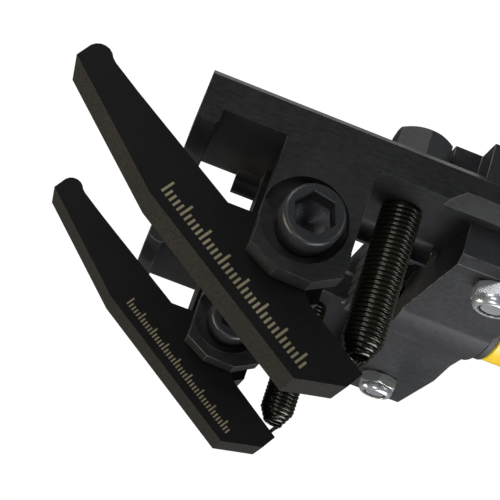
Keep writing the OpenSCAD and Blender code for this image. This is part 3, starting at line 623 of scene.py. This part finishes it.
# ---- Screws in the top plate ----
# Four M8 socket screws, sunk in the top plate, pull the centre block up against it. They are
# blackened, with a broached hexagon in the head and a rolled thread.
block_box = [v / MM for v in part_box("block_screws")]
block_socket = hexagon(6.0)
bm = bmesh.new()
for x in (block_box[0].x + 6.5, block_box[1].x - 6.5):
    for y in (block_box[0].y + 6.5, block_box[1].y - 6.5):
        lofted(bm, (x, y, block_box[1].z - 8), UPWARD, SIDEWAYS,
               [(3.6, 0.0), (4.0, 2.6), lambda k: (4.0, block_socket(k)),
                lambda k: (7.8, block_socket(k)), (8.0, 3.9), (8.0, 5.8), (7.5, 6.4), (0.0, 6.5),
                (0.0, 4.0), (-8.0, 4.0), *thread_rings(-8.4, -23.5, 4.0, 1.25)])
finished(bm, "block_screws_socket", screw_black, "frame", ["block_screws"])

# ---- Ram guide and ram ----
# A bronze guide bush sits in the plates' bore. The ram is hard-chromed bar, ground, with
# a milled tongue for the foot's pin.
chrome = metal("ground_chrome", (0.52, 0.53, 0.55), (0.64, 0.65, 0.67), (0.7, 0.7, 0.72),
               rough=0.14, metallic=1.0, grain=(0.2, 1, 1), grain_size=2200.0, relief=0.04,
               rough_spread=0.05)
ram_mid = (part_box("ram")[0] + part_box("ram")[1]) / 2 / MM
ram_y, axis_z = ram_mid.y, ram_mid.z
guide_low, guide_high = (v.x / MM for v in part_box("ram_guide_bush"))
bm = bmesh.new()
lofted(bm, (0, ram_y, axis_z), SIDEWAYS, UPWARD,
       [(guide_low + 0.8, 14.05), (guide_low, 14.8), (guide_low, 16.4), (guide_low + 0.6, 17.0),
        (guide_high - 0.6, 17.0), (guide_high, 16.4), (guide_high, 14.8), (guide_high - 0.8, 14.05)],
       tube=True)
finished(bm, "ram_guide_bush_turned", bearing_bronze, "frame", ["ram_guide_bush"])
cornered("ram", "ram_chromed", 0.4, chrome, "ram")

# ---- Push foot ----
# Forged block with five grooves across its face and two ears behind, in black oxide. It tilts
# on a zinc-plated pin that goes through the ears and the ram's tongue.
cornered("push_foot", "push_foot_forged", 0.7, plate_black, "push_foot")
pin_low, pin_high = (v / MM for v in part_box("foot_pin"))
bm = bmesh.new()
lofted(bm, ((pin_low.x + pin_high.x) / 2, 0, axis_z), ACROSS, UPWARD,
       [(pin_low.y, 4.2), (pin_low.y + 0.8, 5.0), (pin_high.y - 0.8, 5.0), (pin_high.y, 4.2)],
       points=48)
finished(bm, "foot_pin_zinc", zinc, "ram", ["foot_pin"])

# ---- Cylinder ----
# A honed steel tube with gloss yellow paint and a base welded in at the back. The black gland
# in its mouth has a flange and a threaded collar, which screws into the plates.
yellow = metal("yellow_paint", (0.72, 0.50, 0.018), (0.84, 0.60, 0.03), (0.10, 0.09, 0.07),
               rough=0.3, metallic=0.0, grain_size=500.0, relief=0.12, wear_and_sheen_strength=0.25)
tube_low, tube_high = (v.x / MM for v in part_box("cylinder_barrel"))
tube_r, bore_r, ram_hole_r = 29.0, 22.0, 14.05
bm = bmesh.new()
lofted(bm, (0, ram_y, axis_z), SIDEWAYS, UPWARD,
       [(tube_low, bore_r), (tube_low, tube_r - 1.2), (tube_low + 1.2, tube_r),
        (tube_low + 24, tube_r), (tube_low + 24.5, tube_r - 0.5), (tube_low + 26, tube_r - 0.5),
        (tube_low + 26.5, tube_r), (tube_high - 22, tube_r), (tube_high - 21.5, tube_r - 0.4),
        (tube_high - 20, tube_r - 0.4), (tube_high - 19.5, tube_r), (tube_high - 1.2, tube_r),
        (tube_high, tube_r - 1.2), (tube_high, bore_r)], points=160, tube=True)
port_x = (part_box("coupler_nipple")[0].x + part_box("coupler_nipple")[1].x) / 2 / MM
boss_top = axis_z + tube_r
lofted(bm, (port_x, ram_y, 0), UPWARD, SIDEWAYS,
       [(axis_z + 23, 9.2), (boss_top - 3.4, 9.85), (boss_top - 0.6, 9.5), (boss_top, 8.9)],
       points=64)
finished(bm, "cylinder_barrel_painted", yellow, "frame", ["cylinder_barrel"])
gland_low, gland_high = (v.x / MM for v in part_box("barrel_gland"))
seal_low, seal_high = (v.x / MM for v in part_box("gland_seal"))
flange_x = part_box("near_jaw_bar")[1].x / MM
bm = bmesh.new()
lofted(bm, (0, ram_y, axis_z), SIDEWAYS, UPWARD,
       [(gland_low, 14.8), (gland_low, 20.0), *thread_rings(gland_low + 0.8, flange_x - 3, 21.0, 2.0),
        (flange_x - 2.6, 19.8), (flange_x, 19.8), (flange_x, 29.0), (flange_x + 0.7, 29.7),
        (tube_low - 0.7, 29.7), (tube_low, 29.0), (tube_low, 21.95), (gland_high - 1, 21.95),
        (gland_high, 21.0), (gland_high, ram_hole_r), (seal_high, ram_hole_r), (seal_high, 16.5),
        (seal_low, 16.5), (seal_low, ram_hole_r), (gland_low + 0.8, ram_hole_r)], points=160,
       tube=True)
finished(bm, "barrel_gland_threaded", plate_black, "frame", ["barrel_gland"])
cornered("barrel_base", "barrel_base_turned", 0.4, plate_black, "frame")
coated(screw_black, "piston", "piston_nut")
seal_black = metal("seal_rubber", (0.012, 0.012, 0.013), (0.022, 0.022, 0.023),
                   (0.03, 0.03, 0.03), rough=0.6, metallic=0.0, wear_and_sheen_strength=0.0)
coated(seal_black, "gland_seal", "piston_seal")

# ---- Return spring ----
# A compression spring round the ram, inside the barrel.
spring_low, spring_high = (v.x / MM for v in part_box("return_spring"))
return_wire, return_r, return_turns = 2.0, 19.0, 9
bm = bmesh.new()
wound(bm, return_wire, (spring_low + return_wire, ram_y + return_r, axis_z), Matrix.Identity(4),
      (0, ram_y, axis_z), SIDEWAYS, return_turns, spring_high - spring_low - 2 * return_wire,
      return_turns * 32)
bmesh.ops.recalc_face_normals(bm, faces=bm.faces[:])
return_spring = finished(bm, "return_spring_coil", spring_wire, "frame",
                         ["return_spring"], smooth_under=70)
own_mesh(return_spring)

# ---- Oil coupler ----
# Zinc-plated nipple with a hexagon, a knurled sleeve that turns on it, and a ribbed rubber cap
# that pulls off.
bm = bmesh.new()
nipple = [(boss_top - 9, 5.0), (boss_top, 5.0), *hex_rings(19.0, boss_top, boss_top + 8),
          (boss_top + 8, 8.5), (boss_top + 27.4, 8.5), (boss_top + 28, 10.0),
          (boss_top + 28.4, 10.5), (boss_top + 30.1, 10.5), (boss_top + 30.5, 10.0),
          (boss_top + 30.5, 8.5), (boss_top + 33.2, 8.5), (boss_top + 33.9, 7.8),
          (boss_top + 33.9, 3.2), (boss_top + 33.2, 2.5), (boss_top - 9, 2.5)]
lofted(bm, (port_x, ram_y, 0), UPWARD, SIDEWAYS, nipple, tube=True)
finished(bm, "coupler_nipple_turned", zinc, "frame", ["coupler_nipple"])
ring_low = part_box("coupler_ring")[0].z / MM
grip = lambda along: (lambda k: (along, 14.0 - 0.5 * (k % 4 < 2)))
bm = bmesh.new()
lofted(bm, (port_x, ram_y, ring_low), UPWARD, SIDEWAYS,
       [(0.6, 8.55), (0.0, 9.2), (0.0, 13.0), (0.6, 13.6), (2.2, 13.6), (2.5, 13.0), (3.4, 13.0),
        grip(3.6), grip(7.4), (7.6, 13.1), (8.2, 13.1), grip(8.4), grip(12.2), (12.4, 13.0),
        (13.4, 13.0), (13.6, 13.8), (17.2, 13.8), (18.0, 13.0), (18.0, 9.2), (17.4, 8.55)],
       points=144, tube=True)
finished(bm, "coupler_ring_knurled", zinc, "coupler_ring", ["coupler_ring"])
rubber = metal("moulded_rubber", (0.010, 0.010, 0.010), (0.02, 0.02, 0.02), (0.04, 0.04, 0.04),
               rough=0.62, metallic=0.0, grain_size=1200.0, relief=0.35, wear_and_sheen_strength=0.3, gloss=0.35)
cap_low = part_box("dust_cap")[0].z / MM
rib = lambda along: (lambda k: (along, 12.0 - 0.7 * (k % 6 < 3)))
bm = bmesh.new()
lofted(bm, (port_x, ram_y, cap_low), UPWARD, SIDEWAYS,
       [(4.0, 0.0), (4.0, 8.8), (0.4, 8.8), (0.0, 9.2), (0.0, 11.4), (0.5, 11.9), (1.2, 11.9),
        rib(1.4), rib(6.8), (7.0, 11.6), (8.2, 11.4), (8.9, 10.6), (9.0, 9.6), (8.6, 8.8),
        (8.6, 0.0)], points=144)
finished(bm, "dust_cap_moulded", rubber, "dust_cap", ["dust_cap"])

# ---- Carry handle ----
# Round bar bent to a bridge over the cylinder, each foot welded to the upper half of a clamp
# round the barrel, with a ribbed rubber grip on the straight part. The welds show ripples.
cornered("carry_handle", "carry_handle_bar", 0.5, plate_black, "frame",
         sharper_than=35)
handle_low, handle_high = (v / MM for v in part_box("carry_handle"))
grip_low, grip_high = (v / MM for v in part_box("handle_grip"))
legs = (handle_low.x + 12, handle_high.x - 12)
clamp_top = axis_z + 36.0
bm = bmesh.new()
ripple = lambda along, radius: (lambda k: (along, radius + 0.25 * math.sin(k * math.tau / 6)))
for x in legs:
    lofted(bm, (x, ram_y, clamp_top), UPWARD, SIDEWAYS,
           [(-2.6, 7.8), ripple(-2.6, 11.5), ripple(0.6, 11.3), ripple(1.8, 10.4),
            ripple(2.8, 9.2), ripple(3.4, 8.3), (3.4, 7.8)], tube=True)
finished(bm, "carry_handle_welds", plate_black, "frame")
start_x, end_x = grip_low.x, grip_high.x
rings = [(start_x, 8.0), (start_x, 10.6), (start_x + 0.8, 11.4), (start_x + 4, 11.5),
         (start_x + 4.6, 10.8)]
rib_count = 20
rib_pitch = (end_x - start_x - 11.2) / rib_count
for i in range(rib_count):
    rib_x = start_x + 5.6 + i * rib_pitch
    rings += [(rib_x, 10.2), (rib_x + 0.5, 10.9), (rib_x + rib_pitch * 0.6, 11.0),
              (rib_x + rib_pitch * 0.6 + 0.5, 10.3)]
rings += [(end_x - 4.6, 10.8), (end_x - 4, 11.5), (end_x - 0.8, 11.4), (end_x, 10.6), (end_x, 8.0)]
bm = bmesh.new()
lofted(bm, (0, ram_y, handle_high.z - 8), SIDEWAYS, UPWARD, rings, tube=True)
finished(bm, "handle_grip_ribbed", rubber, "frame", ["handle_grip"])

# ---- Barrel clamps ----
# The lower halves of the clamps that hold the handle to the barrel, milled and blackened, each
# pulled up by two zinc-plated M6 socket screws.
cornered("clamp_halves", "clamp_halves_milled", 0.5, plate_black, "frame")
small_socket = hexagon(5.0)
bm = bmesh.new()
for x in legs:
    for y in (ram_y - 42, ram_y + 42):
        lofted(bm, (x, y, axis_z + 9), UPWARD, SIDEWAYS,
               [(2.6, 0.0), (3.0, 2.2), lambda k: (3.0, small_socket(k)),
                lambda k: (5.8, small_socket(k)), (6.0, 3.3), (6.0, 4.5), (5.5, 5.0), (0.0, 5.0),
                (0.0, 3.0), (-8.0, 3.0), *thread_rings(-8.4, -20.0, 3.0, 1.0)])
finished(bm, "clamp_screws_socket", zinc, "frame", ["clamp_screws"])
